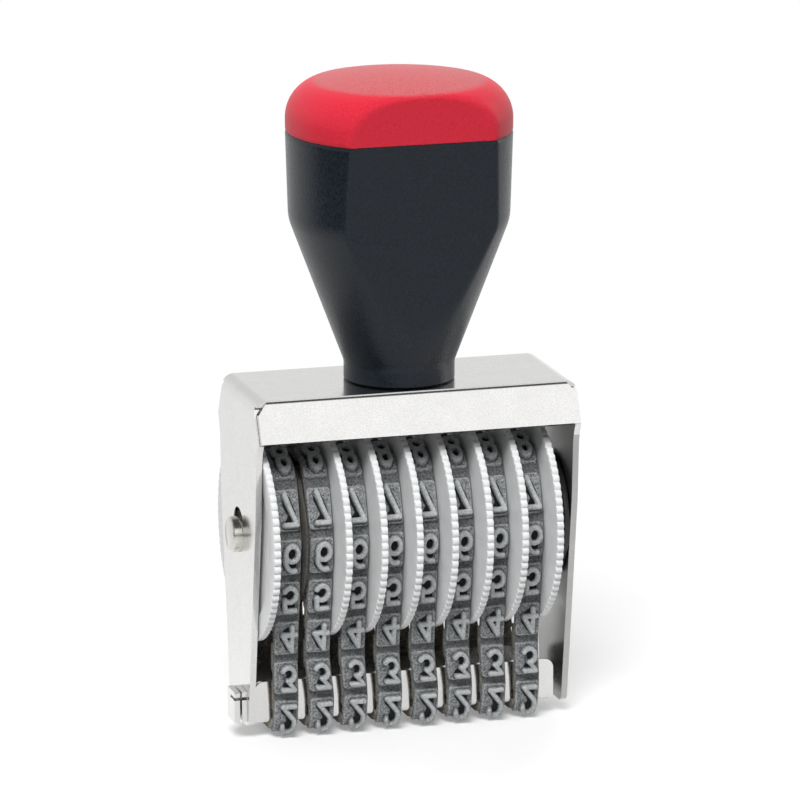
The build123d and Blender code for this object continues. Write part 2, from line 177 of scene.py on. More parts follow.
class Paint:
    """A Principled material whose nodes are added one at a time."""

    def __init__(self, name, colour, roughness, metallic=0.0, specular=0.5):
        self.material = bpy.data.materials.new(name)
        self.material.use_nodes = True
        self.tree = self.material.node_tree
        self.shader = self.tree.nodes["Principled BSDF"]
        self.shader.inputs["Base Color"].default_value = (*colour, 1)
        self.shader.inputs["Roughness"].default_value = roughness
        self.shader.inputs["Metallic"].default_value = metallic
        self.shader.inputs["Specular IOR Level"].default_value = specular
        self.position = self.add("ShaderNodeTexCoord").outputs["Object"]

    def add(self, kind, **settings):
        node = self.tree.nodes.new(kind)
        for key, value in settings.items():
            setattr(node, key, value)
        return node

    def link(self, start, end):
        self.tree.links.new(start, end)

    def noise(self, size_mm, detail=2.0, stretch=(1, 1, 1), roughness=0.5):
        """Noise with features of this size."""
        mapping = self.add("ShaderNodeMapping")
        mapping.inputs["Scale"].default_value = [s / (size_mm * MM) for s in stretch]
        self.link(self.position, mapping.inputs["Vector"])
        node = self.add("ShaderNodeTexNoise")
        node.inputs["Scale"].default_value = 1.0
        node.inputs["Detail"].default_value = detail
        node.inputs["Roughness"].default_value = roughness
        self.link(mapping.outputs["Vector"], node.inputs["Vector"])
        return node.outputs["Fac"]

    def spread(self, value, low, high, to_low=0.0, to_high=1.0):
        """A value from low to high, spread over another range and held at its ends."""
        node = self.add("ShaderNodeMapRange")
        self.link(value, node.inputs["Value"])
        set_range(node, low, high, to_low, to_high)
        return node.outputs["Result"]

    def mix(self, factor, first, second):
        """The first colour where factor is 0 and the second where it is 1."""
        node = self.add("ShaderNodeMix", data_type="RGBA")
        self.link(factor, node.inputs[0])
        for value, socket in ((first, node.inputs[6]), (second, node.inputs[7])):
            if isinstance(value, bpy.types.NodeSocket):
                self.link(value, socket)
            else:
                socket.default_value = (*value, 1)
        return node.outputs[2]

    def attribute(self, name):
        """The numbers that a mesh carries under this name."""
        return self.add("ShaderNodeAttribute", attribute_name=name).outputs["Fac"]

    def colour(self, socket):
        self.link(socket, self.shader.inputs["Base Color"])

    def roughness(self, socket):
        self.link(socket, self.shader.inputs["Roughness"])

    def bump(self, *layers):
        """Layers of (height socket, strength, distance in mm), one over the other."""
        last = None
        for height, strength, distance in layers:
            node = self.add("ShaderNodeBump")
            node.inputs["Strength"].default_value = strength
            node.inputs["Distance"].default_value = distance * MM
            self.link(height, node.inputs["Height"])
            if last:
                self.link(last, node.inputs["Normal"])
            last = node.outputs["Normal"]
        self.link(last, self.shader.inputs["Normal"])


def grip_plastic():
    paint = Paint("grip_plastic", (0.006, 0.009, 0.014), 0.35, specular=0.28)
    grain = paint.noise(0.34, 2.0)
    cloud = paint.noise(9.0, 1.0)
    dark = paint.mix(paint.spread(grain, 0.35, 0.7), (0.003, 0.006, 0.010), (0.013, 0.019, 0.027))
    paint.colour(paint.mix(paint.spread(cloud, 0.3, 0.7, 0.0, 0.35), dark, (0.009, 0.013, 0.020)))
    paint.roughness(paint.spread(grain, 0.3, 0.7, 0.27, 0.38))
    paint.bump((grain, 0.75, 0.05))
    return paint.material


def cap_plastic():
    paint = Paint("cap_plastic", (0.68, 0.018, 0.040), 0.42, specular=0.26)
    grain = paint.noise(0.26, 2.0)
    side = paint.mix(paint.spread(grain, 0.3, 0.7), (0.63, 0.018, 0.042), (0.71, 0.032, 0.056))
    # Painted sheen: the crown is paler and pinker than the sides, standing in for the light from
    # above.
    painted_crown_sheen = paint.mix(paint.spread(grain, 0.3, 0.7), (0.46, 0.045, 0.056), (0.63, 0.14, 0.15))
    paint.colour(paint.mix(paint.attribute("crown"), side, painted_crown_sheen))
    paint.roughness(paint.spread(grain, 0.3, 0.7, 0.46, 0.58))
    paint.shader.inputs["Coat Weight"].default_value = 0.1
    paint.shader.inputs["Coat Roughness"].default_value = 0.28
    paint.bump((grain, 0.6, 0.04))
    return paint.material


def nickel(name="nickel", roughness=0.15, tone=1.0):
    """Bright plating; tone below 1 darkens it as painted shade, for the inside of the housing."""
    def shade(*colour):
        return tuple(tone * c for c in colour)

    paint = Paint(name, shade(0.70, 0.697, 0.69), roughness, metallic=1.0)
    fine = paint.noise(0.2, 2.0)
    smear = paint.noise(3.2, 3.0)
    drawn = paint.noise(0.5, 2.0, stretch=(0.08, 1, 1))
    bright, soft = shade(0.73, 0.725, 0.715), shade(0.70, 0.695, 0.685)
    pale = paint.mix(paint.spread(smear, 0.35, 0.7), bright, soft)
    paint.colour(paint.mix(paint.spread(fine, 0.35, 0.65), pale, shade(0.63, 0.627, 0.62)))
    paint.roughness(paint.spread(smear, 0.3, 0.72, roughness - 0.01, roughness + 0.04))
    paint.bump((fine, 0.25, 0.01), (drawn, 0.05, 0.01), (smear, 0.03, 0.03))
    return paint.material


def turned_steel():
    paint = Paint("turned_steel", (0.60, 0.59, 0.55), 0.2, metallic=1.0)
    rings = paint.noise(0.16, 1.0, stretch=(1, 0.06, 0.06))
    paint.roughness(paint.spread(rings, 0.3, 0.7, 0.16, 0.3))
    paint.bump((rings, 0.12, 0.02))
    return paint.material


def wheel_plastic():
    paint = Paint("wheel_plastic", (0.85, 0.86, 0.86), 0.36, specular=0.4)
    fine = paint.noise(0.35, 2.0)
    cloud = paint.noise(2.5, 2.0)
    white, grey = (0.87, 0.88, 0.885), (0.82, 0.83, 0.83)
    paint.colour(paint.mix(paint.spread(cloud, 0.35, 0.7), white, grey))
    paint.roughness(paint.spread(fine, 0.3, 0.7, 0.3, 0.45))
    paint.bump((fine, 0.12, 0.02))
    return paint.material


def type_rubber():
    """Mottled dusty rubber, brown at the sides, with painted light and shade: pale on the raised
    strokes, dark in the hollows.
    """
    paint = Paint("type_rubber", (0.2, 0.205, 0.21), 0.72, specular=0.3)
    relief = paint.attribute("relief")
    hollow = paint.attribute("hollow")
    side = paint.attribute("side")
    speckle = paint.noise(0.3, 4.0, roughness=0.75)
    blotch = paint.noise(1.0, 3.0, roughness=0.6)
    dots = paint.spread(speckle, 0.34, 0.66)
    band = paint.mix(paint.spread(speckle, 0.36, 0.64), (0.05, 0.052, 0.053), (0.21, 0.217, 0.22))
    pad = paint.mix(paint.spread(speckle, 0.39, 0.61), (0.05, 0.055, 0.058), (0.40, 0.413, 0.42))
    pad = paint.mix(paint.spread(blotch, 0.36, 0.66, 0.0, 0.45), pad, (0.20, 0.21, 0.215))
    # Painted light and shade by relief: the low band between pads is darker, the raised strokes
    # paler.
    pad = paint.mix(paint.spread(relief, 0.12, 0.30), band, pad)
    stroke = paint.mix(dots, (0.30, 0.315, 0.322), (0.58, 0.595, 0.60))
    front = paint.mix(paint.spread(relief, 0.50, 0.95), pad, stroke)
    wall = paint.mix(dots, (0.09, 0.078, 0.062), (0.44, 0.40, 0.34))
    surface = paint.mix(side, front, wall)
    # Painted shade: the hollows go near black.
    paint.colour(paint.mix(paint.spread(hollow, 0.15, 0.7), surface, (0.010, 0.011, 0.012)))
    paint.roughness(paint.spread(blotch, 0.3, 0.7, 0.62, 0.8))
    paint.bump((speckle, 0.7, 0.09), (blotch, 0.45, 0.15))
    return paint.material


def divider_fibre():
    paint = Paint("divider_fibre", (0.23, 0.20, 0.17), 0.55)
    fibre = paint.noise(0.4, 3.0)
    dark, brown = (0.045, 0.041, 0.037), (0.10, 0.092, 0.082)
    paint.colour(paint.mix(paint.spread(fibre, 0.3, 0.7), dark, brown))
    paint.bump((fibre, 0.3, 0.03))
    return paint.material


def spacer_plastic():
    paint = Paint("spacer_plastic", (0.015, 0.015, 0.016), 0.4)
    fine = paint.noise(0.3, 2.0)
    paint.roughness(paint.spread(fine, 0.3, 0.7, 0.34, 0.5))
    paint.bump((fine, 0.2, 0.02))
    return paint.material


FINISH = {
    "grip_plastic": grip_plastic(),
    "cap_plastic": cap_plastic(),
    "nickel": nickel(),
    # The housing's inside is rougher, and darker by painted shade.
    "nickel_inside": nickel("nickel_inside", 0.28, 0.6),
    "turned_steel": turned_steel(),
    "wheel_plastic": wheel_plastic(),
    "type_rubber": type_rubber(),
    "divider_fibre": divider_fibre(),
    "spacer_plastic": spacer_plastic(),
}


# ============================================================================
# Sheet-metal and small solids: the frame's own form with broken edges
# ============================================================================
MERGE_DISTANCE = 0.002
FLAT_ANGLE = 0.6            # most degrees between faces that belong to one flat
BROKEN_ANGLE = 24.0         # least degrees between faces whose edge is broken
BEVEL_SEGMENTS = 2
FLAT_WEIGHT = 80            # how much larger faces rule the shading at their corners
FACING = 0.9                # least part of a normal along X or Z for a face to be an inner one
CUT_FACING = 0.7            # the same along Y for a cut edge
CUT_START = 8.0             # the cut edges take the inside finish, darker by painted shade, this far below the roof


def broken_edges(node, name, slot, width, inside=None):
    """A copy of a frame solid's form with merged flats and bevels of this width.

    inside is a test of a face's centre, in millimetres, and its normal; the faces that
    pass it have the slot's rougher inside finish, darkened by painted shade."""
    mesh = frame["nodes"][node].data.copy()
    mesh.name = name
    work = bmesh.new()
    work.from_mesh(mesh)
    bmesh.ops.remove_doubles(work, verts=work.verts, dist=MERGE_DISTANCE * MM)
    flat = math.radians(FLAT_ANGLE)
    bmesh.ops.dissolve_limit(work, angle_limit=flat, verts=work.verts, edges=work.edges)
    layers = work.edges.layers.float
    weight = layers.get("bevel_weight_edge") or layers.new("bevel_weight_edge")
    for edge in work.edges:
        edge[weight] = float(edge.calc_face_angle(0) >= math.radians(BROKEN_ANGLE))
    work.to_mesh(mesh)
    work.free()
    mesh.materials.clear()
    mesh.materials.append(FINISH[slot])
    mesh.polygons.foreach_set("use_smooth", [True] * len(mesh.polygons))
    if inside:
        mesh.materials.append(FINISH[slot + "_inside"])
        for face in mesh.polygons:
            face.material_index = int(inside(face.center / MM, face.normal))
    obj = bpy.data.objects.new(name, mesh)
    bpy.context.scene.collection.objects.link(obj)
    bevel = obj.modifiers.new("broken_edges", "BEVEL")
    bevel.limit_method = "WEIGHT"
    bevel.width = width * MM
    bevel.segments = BEVEL_SEGMENTS
    bevel.miter_outer = "MITER_ARC"
    normals = obj.modifiers.new("flat_faces", "WEIGHTED_NORMAL")
    normals.weight = FLAT_WEIGHT
    place(obj, "frame", slot, node)


def faces_inwards(centre, normal):
    """The insides of the housing's cheeks and roof, and the right cheek's cut edges."""
    from_side = HOUSING_HALF_WIDTH - abs(centre.x)
    from_roof = ROOF_Z - centre.z
    cheek = from_side > SHEET / 2 and centre.x * normal.x < 0 and abs(normal.x) > FACING
    roof = SHEET / 2 < from_roof < 2 * SHEET and normal.z < -FACING
    right_edge = centre.x > 0 and from_side < 2 * SHEET and abs(normal.y) > CUT_FACING
    return cheek or roof or (right_edge and from_roof > CUT_START)


broken_edges("housing", "housing_sheet", "nickel", 0.09, inside=faces_inwards)
broken_edges("bridge", "bridge_channel", "nickel", 0.09)
broken_edges("end_spacer", "spacer_disc", "spacer_plastic", 0.07)
broken_edges("grip_screw", "slotted_screw", "turned_steel", 0.12)


# ============================================================================
# Grip and cap
# ============================================================================
TURNED_COLUMNS = 384
GRIP_STEP = 0.55            # most between two rows of points
CAP_STEP = 0.45
SEAM_HALF_GAP = 0.03        # from the seam to each piece
SEAM_RIM = 1.2              # how far in the profiles run along the seam
SHOULDER_POINTS = 16
CAP_EDGE_POINTS = 26
# Rounding of the flats' edges, low and high, and the heights between which it changes.
GRIP_CORNERS = (0.5, 0.2)
GRIP_FADE = (SEAM_Z - 22.0, SEAM_Z - 8.0)
CAP_CORNERS = (0.22, 1.1)
CAP_FADE = (SEAM_Z, SEAM_Z + 4.5)
CREASE_ANGLE = 9.0          # degrees of the edge arc left out below the crown: a faint line
CROWN_ROWS = 18
CROWN_RADIUS = 12.9         # the painted sheen on the crown ends here, near the crease
CROWN_FADE = 1.1
CROWN_DROP = 0.4            # and this far below the crease


def soft_limit(value, limit, width):
    """The smaller of value and limit, with the corner between them rounded."""
    h = np.clip(0.5 + 0.5 * (limit - value) / width, 0, 1)
    return value * h + limit * (1 - h) - width * h * (1 - h)


def turned_with_flats(profile, corners, fade):
    """Rows of points of a profile of (radius, z) turned about Z, with the two leaning flats.

    The edge of a flat is rounded by the first of corners below the two heights of fade, by
    the second above them, and evenly from one to the other between them."""
    profile = np.asarray(profile, float)
    columns = TURNED_COLUMNS
    angles = np.linspace(0, 2 * math.pi, columns, endpoint=False) + math.pi / columns
    radius, z = profile[:, :1], np.repeat(profile[:, 1:], columns, 1)
    x = radius * np.cos(angles)[None]
    y = radius * np.sin(angles)[None]
    limit = FLAT_DEPTH + (z - SEAM_Z) * FLAT_TILT
    share = np.clip((z - fade[0]) / (fade[1] - fade[0]), 0, 1)
    depth = soft_limit(np.abs(y), limit, corners[0] + (corners[1] - corners[0]) * share)
    return np.stack([x, np.sign(y) * np.minimum(depth, np.abs(y)), z], -1)


def closed_stack(rows):
    """Points and faces of rows of rings, closed by a face at each end."""
    count, columns = rows.shape[:2]
    faces = [list(f) for f in grid_faces(count, columns, False, True)]
    faces.append(list(range(columns))[::-1])
    faces.append([(count - 1) * columns + k for k in range(columns)])
    return rows.reshape(-1, 3), faces


def densify(points, step):
    """The same outline with points at most this far apart."""
    out = [points[0]]
    for a, b in zip(points[:-1], points[1:]):
        pieces = max(1, math.ceil(math.dist(a, b) / step))
        for k in range(1, pieces + 1):
            out.append((a[0] + (b[0] - a[0]) * k / pieces, a[1] + (b[1] - a[1]) * k / pieces))
    return out


def shoulder_arc():
    """The fillet between the cone and the slightly flared upper wall."""
    corner = Vector((SHOULDER_RADIUS, ROOF_Z + NECK_HEIGHT + CONE_HEIGHT))
    below = (Vector((NECK_RADIUS, ROOF_Z + NECK_HEIGHT)) - corner).normalized()
    above = (Vector((GRIP_RADIUS, SEAM_Z)) - corner).normalized()
    half = below.angle(above) / 2
    back = SHOULDER_FILLET / math.tan(half)
    centre = corner + (below + above).normalized() * SHOULDER_FILLET / math.sin(half)
    first, last = corner + below * back, corner + above * back
    start = math.degrees(math.atan2(first.y - centre.y, first.x - centre.x))
    end = math.degrees(math.atan2(last.y - centre.y, last.x - centre.x))
    return arc_points(centre, SHOULDER_FILLET, start, end, SHOULDER_POINTS)


grip_profile = densify(
    [
        (NECK_RADIUS - 0.25, ROOF_Z + 0.02),
        (NECK_RADIUS, ROOF_Z + 0.25),
        (NECK_RADIUS, ROOF_Z + NECK_HEIGHT - 0.3),
        (NECK_RADIUS + 0.08, ROOF_Z + NECK_HEIGHT + 0.1),
        *shoulder_arc(),
        (GRIP_RADIUS - 0.01, SEAM_Z - 2 * SEAM_CHAMFER),
        (GRIP_RADIUS - SEAM_CHAMFER, SEAM_Z - SEAM_HALF_GAP),
        (GRIP_RADIUS - SEAM_RIM, SEAM_Z - SEAM_HALF_GAP),
    ],
    GRIP_STEP,
)
grip_rows = turned_with_flats(grip_profile, GRIP_CORNERS, GRIP_FADE)
grip = new_mesh("grip_handle", *closed_stack(grip_rows), FINISH["grip_plastic"], 40)
place(grip, "frame", "grip_plastic", "grip")

# The arc at the cap's edge would run into the crown's arc at edge_angle.
edge_x = GRIP_RADIUS - CAP_EDGE
crown_to_edge = CAP_CROWN - CAP_EDGE
edge_angle = math.degrees(math.acos(edge_x / crown_to_edge))
edge_z = CAP_TOP_Z - CAP_CROWN + math.sqrt(crown_to_edge**2 - edge_x**2)
edge_arc = arc_points((edge_x, edge_z), CAP_EDGE, 0, edge_angle - CREASE_ANGLE, CAP_EDGE_POINTS)
cap_profile = densify(
    [
        (GRIP_RADIUS - SEAM_RIM, SEAM_Z + SEAM_HALF_GAP),
        (GRIP_RADIUS - SEAM_CHAMFER, SEAM_Z + SEAM_HALF_GAP),
        (GRIP_RADIUS - 0.01, SEAM_Z + 2 * SEAM_CHAMFER),
        *edge_arc,
    ],
    CAP_STEP,
)
crease = cap_profile[-1]
for row in range(1, CROWN_ROWS):
    share = 1 - row / CROWN_ROWS
    cap_profile.append((crease[0] * share, CAP_TOP_Z - (CAP_TOP_Z - crease[1]) * share**2))
cap_points, cap_faces = closed_stack(turned_with_flats(cap_profile, CAP_CORNERS, CAP_FADE))
# crown: where the cap's top takes its painted sheen, fading out near the crease and a little below
# it.
from_axis = np.hypot(cap_points[:, 0], cap_points[:, 1])
crown = np.clip((CROWN_RADIUS - from_axis) / CROWN_FADE, 0, 1)
crown *= np.clip((cap_points[:, 2] - crease[1]) / CROWN_DROP + 1, 0, 1)
cap = new_mesh("cap_top", cap_points, cap_faces, FINISH["cap_plastic"], 50, {"crown": crown})
place(cap, "frame", "cap_plastic", "cap")


# ============================================================================
# Axle and divider
# ============================================================================
AXLE_SAMPLES = 96
DIVIDER_SAMPLES = 160
SHOULDER_GAP = 0.1          # from the axle's shoulders to the cheeks
SHOULDER_CHAMFER = 0.1
END_MIDDLE = 0.02           # radius of the ring at the middle of each end face
# Rounded corners, as (distance from the face, cut off the radius).
END_ROUNDING = ((0, 0.34), (0.08, 0.16), (0.22, 0.04), (0.4, 0))
DIVIDER_ROUNDING = ((0, 0.25), (0.12, 0.06), (0.3, 0))


def mirrored(half, left, right):
    """A profile of (x, radius) from its left half, between its left and right ends."""
    return [*half, *((right + left - x, radius) for x, radius in reversed(half))]


def axle_profile():
    left, right = axle_low[0], axle_high[0]
    left_end = [(left, END_MIDDLE)]
    left_end += [(left + inwards, STUB_RADIUS - cut) for inwards, cut in END_ROUNDING]
    right_end = mirrored(left_end, left, right)[len(left_end):]
    shaft = (axle_high[2] - axle_low[2]) / 2
    shoulder = HOUSING_HALF_WIDTH - SHEET - SHOULDER_GAP
    corner = [
        (-shoulder, STUB_RADIUS),
        (-shoulder, shaft - SHOULDER_CHAMFER),
        (-shoulder + SHOULDER_CHAMFER, shaft),
    ]
    return [*left_end, *mirrored(corner, -shoulder, shoulder), *right_end]


def divider_profile():
    left, right = divider_low[0], divider_high[0]
    rim = [(left + inwards, DIVIDER_RADIUS - cut) for inwards, cut in DIVIDER_ROUNDING]
    return mirrored([(left, BORE_RADIUS), *rim], left, right)


axle_points, axle_faces = lathe_x(axle_profile(), AXLE_SAMPLES)
# The last ring of quads would run through the middle from end to end.
solid_faces = axle_faces[:-AXLE_SAMPLES]
axle = new_mesh("axle_rod", axle_points, solid_faces, FINISH["turned_steel"], 30)
place(axle, "frame", "turned_steel", "axle")

divider_ring = lathe_x(divider_profile(), DIVIDER_SAMPLES)
divider = new_mesh("divider_disc", *divider_ring, FINISH["divider_fibre"], 40)
place(divider, "frame", "divider_fibre", "belt_divider")


# ============================================================================
# Setting wheels: scalloped flange, drum and cogs
# ============================================================================
WEB_RADIUS = 12.4           # of the shallow recess in the flange's outer side
WEB_DEPTH = 0.35
DRUM_CLEARANCE = 0.08       # from the drum to its belt
DRUM_RADIUS = TYPE_RADIUS - BELT_THICKNESS - DRUM_CLEARANCE
DRUM_CHAMFER = 0.15
FLANGE_LOOP = 13.0          # radius of a ring of points on the flange's side at the drum
SCALLOP_SAMPLES = 8
SCALLOP_POWER = 1.3         # the higher, the narrower the valleys between the teeth
# A flange's corner, as (distance from its side, cut off the radius, share of the scallops).
RIM_ROUNDING = ((0, 0.45, 0), (0.01, 0.14, 0.8), (0.06, 0.03, 1), (0.15, 0, 1))
COG_CLEARANCE = 0.15        # from a cog to the floor and the walls of its notch
COG_CHAMFER = 0.12
COG_ROOT = 0.4              # how deep a cog stands in the drum
COG_MARGINS = (0.3, 0.45)   # from the drum's free end and from the flange to a cog's ends


def wheel_mesh(number):
    """A wheel without its cogs, its lowest x, its width and the drum's length.

    The first wheel's flange is on the left, and the others' are on the right."""
    low, high = node_box(f"wheel_{number}")
    width = high[0] - low[0]
    drum_end = width - FLANGE
    near = [(drum_end + inwards, WHEEL_RADIUS - cut, share) for inwards, cut, share in RIM_ROUNDING]
    far = [(width - inwards, WHEEL_RADIUS - cut, share) for inwards, cut, share in RIM_ROUNDING]
    # Columns: distance from the drum's free end, radius, share of the scallop's depth.
    profile = np.array([
        (0, BORE_RADIUS, 0),
        (0, DRUM_RADIUS - DRUM_CHAMFER, 0),
        (DRUM_CHAMFER, DRUM_RADIUS, 0),
        (drum_end, DRUM_RADIUS, 0),
        (drum_end, FLANGE_LOOP, 0),
        *near,
        *reversed(far),
        (width, WEB_RADIUS + 0.12, 0),
        (width - 0.06, WEB_RADIUS, 0),
        (width - WEB_DEPTH, WEB_RADIUS - 0.15, 0),
        (width - WEB_DEPTH, BORE_RADIUS, 0),
    ])
    samples = SERRATIONS * SCALLOP_SAMPLES
    angles = np.linspace(0, 2 * math.pi, samples, endpoint=False)
    hollow = (1 - np.abs(np.sin(SERRATIONS * angles / 2))) ** SCALLOP_POWER * SERRATION_DEPTH
    radius = profile[:, 1:2] - profile[:, 2:3] * hollow[None]
    along = profile[:, 0] if number > 1 else width - profile[:, 0]
    x = np.repeat((low[0] + along)[:, None], samples, 1)
    points = np.stack([x, radius * np.cos(angles), AXLE_Z + radius * np.sin(angles)], -1)
    faces = grid_faces(len(profile), samples, True, True)
    if number > 1:
        faces = faces[:, ::-1]
    return points.reshape(-1, 3), faces.tolist(), low[0], width, drum_end


def cog_boxes(number, start, width, drum_end):
    """Chamfered cogs on the drum, each of them between the walls of a notch."""
    height = NOTCH_DEPTH - COG_CLEARANCE + DRUM_CLEARANCE
    half = NOTCH_WIDTH / 2 - COG_CLEARANCE
    free, inner = COG_MARGINS
    ends = (free, drum_end - inner) if number > 1 else (width - drum_end + inner, width - free)
    outline = [
        (-half, -COG_ROOT),
        (-half, height - COG_CHAMFER),
        (-half + COG_CHAMFER, height),
        (half - COG_CHAMFER, height),
        (half, height - COG_CHAMFER),
        (half, -COG_ROOT),
    ]
    points, faces = [], []
    for k in range(COGS):
        angle = math.radians(90 + 180 / COGS + k * 360 / COGS)
        out = np.array([math.cos(angle), math.sin(angle)])
        side = np.array([-math.sin(angle), math.cos(angle)])
        base = len(points)
        for x in (start + ends[0], start + ends[1]):
            for across, up in outline:
                y, z = out * (DRUM_RADIUS + up) + side * across
                points.append((x, y, AXLE_Z + z))
        n = len(outline)
        for i in range(n):
            after = (i + 1) % n
            faces.append([base + i, base + after, base + n + after, base + n + i])
        faces += [[base + i for i in range(n)][::-1], [base + n + i for i in range(n)]]
    return points, faces


for number in range(1, BELTS + 1):
    ring, ring_faces, start, width, drum_end = wheel_mesh(number)
    cogs, cog_faces = cog_boxes(number, start, width, drum_end)
    points = np.vstack([ring, cogs])
    faces = ring_faces + [[len(ring) + i for i in face] for face in cog_faces]
    wheel = new_mesh(f"setting_wheel_{number}_body", points, faces, FINISH["wheel_plastic"], 38)
    place(wheel, f"setting_wheel_{number}", "wheel_plastic", f"wheel_{number}")


# ============================================================================
# Type belts
# ============================================================================
NEUTRAL = CARRIER / 2
PITCH_RADIUS = COGS * CHARACTER_PITCH / (2 * math.pi)
CORNER_RADIUS = BRIDGE_CORNER + NEUTRAL
CORNER_Y = BRIDGE_HALF_DEPTH - BRIDGE_CORNER
CORNER_Z = BELT_THICKNESS + BRIDGE_CORNER
BELT_LENGTH = CHARACTERS * CHARACTER_PITCH
centre_rise = AXLE_Z - CORNER_Z
centres_apart = math.hypot(CORNER_Y, centre_rise)
LEAN = math.asin((PITCH_RADIUS - CORNER_RADIUS) / centres_apart) - math.atan2(CORNER_Y, centre_rise)
STRAND = math.sqrt(centres_apart**2 - (PITCH_RADIUS - CORNER_RADIUS) ** 2)
CORNER_ARC = CORNER_RADIUS * (math.pi / 2 - LEAN)
TYPE_HEIGHT = BELT_THICKNESS - CARRIER


def on_belt(s, outward):
    """(y, z) at a distance s round the belt from its bottom centre, outside its neutral line."""
    s = np.mod(s, BELT_LENGTH)
    rear = s > BELT_LENGTH / 2
    t = np.where(rear, BELT_LENGTH - s, s)
    # Half the belt in four stretches: flat bottom, bridge corner, straight strand, drum.
    first, second, third = CORNER_Y, CORNER_Y + CORNER_ARC, CORNER_Y + CORNER_ARC + STRAND
    stretches = [t < first, (t >= first) & (t < second), (t >= second) & (t < third)]
    round_corner = np.clip((t - first) / CORNER_RADIUS, 0, math.pi / 2 - LEAN)
    along = t - second
    round_drum = np.maximum((t - third) / PITCH_RADIUS, 0) - LEAN
    foot_y = -CORNER_Y - CORNER_RADIUS * math.cos(LEAN)
    foot_z = CORNER_Z - CORNER_RADIUS * math.sin(LEAN)
    corner_radius, drum_radius = CORNER_RADIUS + outward, PITCH_RADIUS + outward
    flat_y, flat_z = -t, CORNER_Z - CORNER_RADIUS - outward
    corner_y = -CORNER_Y - corner_radius * np.sin(round_corner)
    corner_z = CORNER_Z - corner_radius * np.cos(round_corner)
    strand_y = foot_y - along * math.sin(LEAN) - outward * math.cos(LEAN)
    strand_z = foot_z + along * math.cos(LEAN) - outward * math.sin(LEAN)
    drum_y, drum_z = -drum_radius * np.cos(round_drum), AXLE_Z + drum_radius * np.sin(round_drum)
    y = np.select(stretches, [flat_y, corner_y, strand_y], drum_y)
    z = np.select(stretches, [flat_z, corner_z, strand_z], drum_z)
    return np.where(rear, -y, y), z


# Each figure is a list of strokes in a box 2.4 wide and 4.0 high, centred on its pad,
# as lines (x0, y0, x1, y1) and arcs (cx, cy, rx, ry, start, end) in degrees.
FIGURES = {
    "1": [("line", 0.15, -1.75, 0.15, 1.75), ("line", 0.15, 1.75, -0.55, 1.15)],
    "2": [("arc", 0, 0.85, 0.88, 0.95, 165, -35), ("line", 0.72, 0.3, -0.85, -1.72),
          ("line", -0.85, -1.75, 0.9, -1.75)],
    "3": [("line", -0.85, 1.75, 0.85, 1.75), ("line", 0.85, 1.75, 0.0, 0.45),
          ("arc", -0.02, -0.68, 0.92, 1.08, 95, -150)],
    "4": [("line", 0.42, 1.8, -0.95, -0.6), ("line", -0.95, -0.65, 0.98, -0.65),
          ("line", 0.42, 1.8, 0.42, -1.8)],
    "5": [("line", -0.65, 1.75, 0.8, 1.75), ("line", -0.68, 1.75, -0.78, 0.35),
          ("arc", -0.03, -0.65, 0.93, 1.1, 140, -150)],
    "6": [("arc", 0, -0.75, 0.92, 1.05, 0, 360), ("arc", 0.25, 0.1, 1.17, 1.68, 195, 75)],
    "7": [("line", -0.9, 1.75, 0.95, 1.75), ("line", 0.95, 1.7, -0.65, -1.8)],
    "8": [("arc", 0, 0.92, 0.75, 0.85, 0, 360), ("arc", 0, -0.85, 0.9, 0.95, 0, 360)],
    "9": [("arc", 0, 0.75, 0.92, 1.05, 0, 360), ("arc", -0.25, -0.1, 1.17, 1.68, 15, -105)],
    "0": [("arc", 0, 0, 0.9, 1.8, 0, 360)],
    "-": [("line", -0.7, 0, 0.7, 0)],
    "/": [("line", -0.7, -1.7, 0.7, 1.7)],
    ".": [("line", 0.0, -1.6, 0.05, -1.6)],
    "+": [("line", -0.75, 0, 0.75, 0), ("line", 0, -0.75, 0, 0.75)],
    " ": [],
}
PAD_FIGURES = "1234567890-/.+ "
STROKE = 0.25               # half the width of a stroke's face
PLATFORM = 0.48             # a pad's platform above the band
FOOT = 0.50                 # a stroke's wide foot above the platform
FOOT_WIDTH = 0.16           # on each side of the face
FIGURE_SHIFT = 0.22         # figures sit a little right of their pads' middle
PAD_HALF_LENGTH = 2.62
PAD_HALF_WIDTH = 1.84
PAD_CORNER = 0.6
UNEVEN = 0.05               # height of the bumps on a pad
BUMPS = (7, 6)              # their number along and across it
FIGURE_MOVES = (0.05, 0.06)  # most that a figure is off its place, across and along
SIDE_ROUNDING = 0.05        # of the band's corners
ROWS_PER_CHARACTER = 64
COLUMNS = 41
ARC_POINTS = 25
FAR = 9.0                   # further than any stroke
BLUR = 8                    # rows and columns to each side that tell what is a hollow
SEED = 410
ASKEW = (0.4, 1.0, 0.8, 0.75, 0.95, 0.85, 0.7, 0.55)  # of each belt at the bridge
ASKEW_FROM = 13.6           # the height below which belts hang askew
ASKEW_OVER = 9.0            # how far below it they do so fully
SLACK = 2.2                 # the belts' rise off their drums at the top
OPEN_SLACK = 2.7            # the same of belts 1 and 2, with no flange between them
SLACK_SPAN = 10.5           # half the length of belt that rises
SLACK_FLAT = 0.3            # the part of it that rises fully


def ramp(value, start, end):
    """0 before start, 1 after end, smooth between."""
    t = np.clip((value - start) / (end - start), 0, 1)
    return t * t * (3 - 2 * t)


def stroke_distance(figure, u, v):
    """Distance of each point from a figure's strokes."""
    nearest = np.full(u.shape, FAR)
    for kind, *numbers in FIGURES[figure]:
        if kind == "line":
            points = np.array([numbers[:2], numbers[2:]])
        else:
            cx, cy, rx, ry, start, end = numbers
            a = np.radians(np.linspace(start, end, ARC_POINTS))
            points = np.stack([cx + rx * np.cos(a), cy + ry * np.sin(a)], -1)
        for p, q in zip(points[:-1], points[1:]):
            d = q - p
            t = np.clip(((u - p[0]) * d[0] + (v - p[1]) * d[1]) / max(d @ d, 1e-9), 0, 1)
            nearest = np.minimum(nearest, np.hypot(u - p[0] - t * d[0], v - p[1] - t * d[1]))
    return nearest


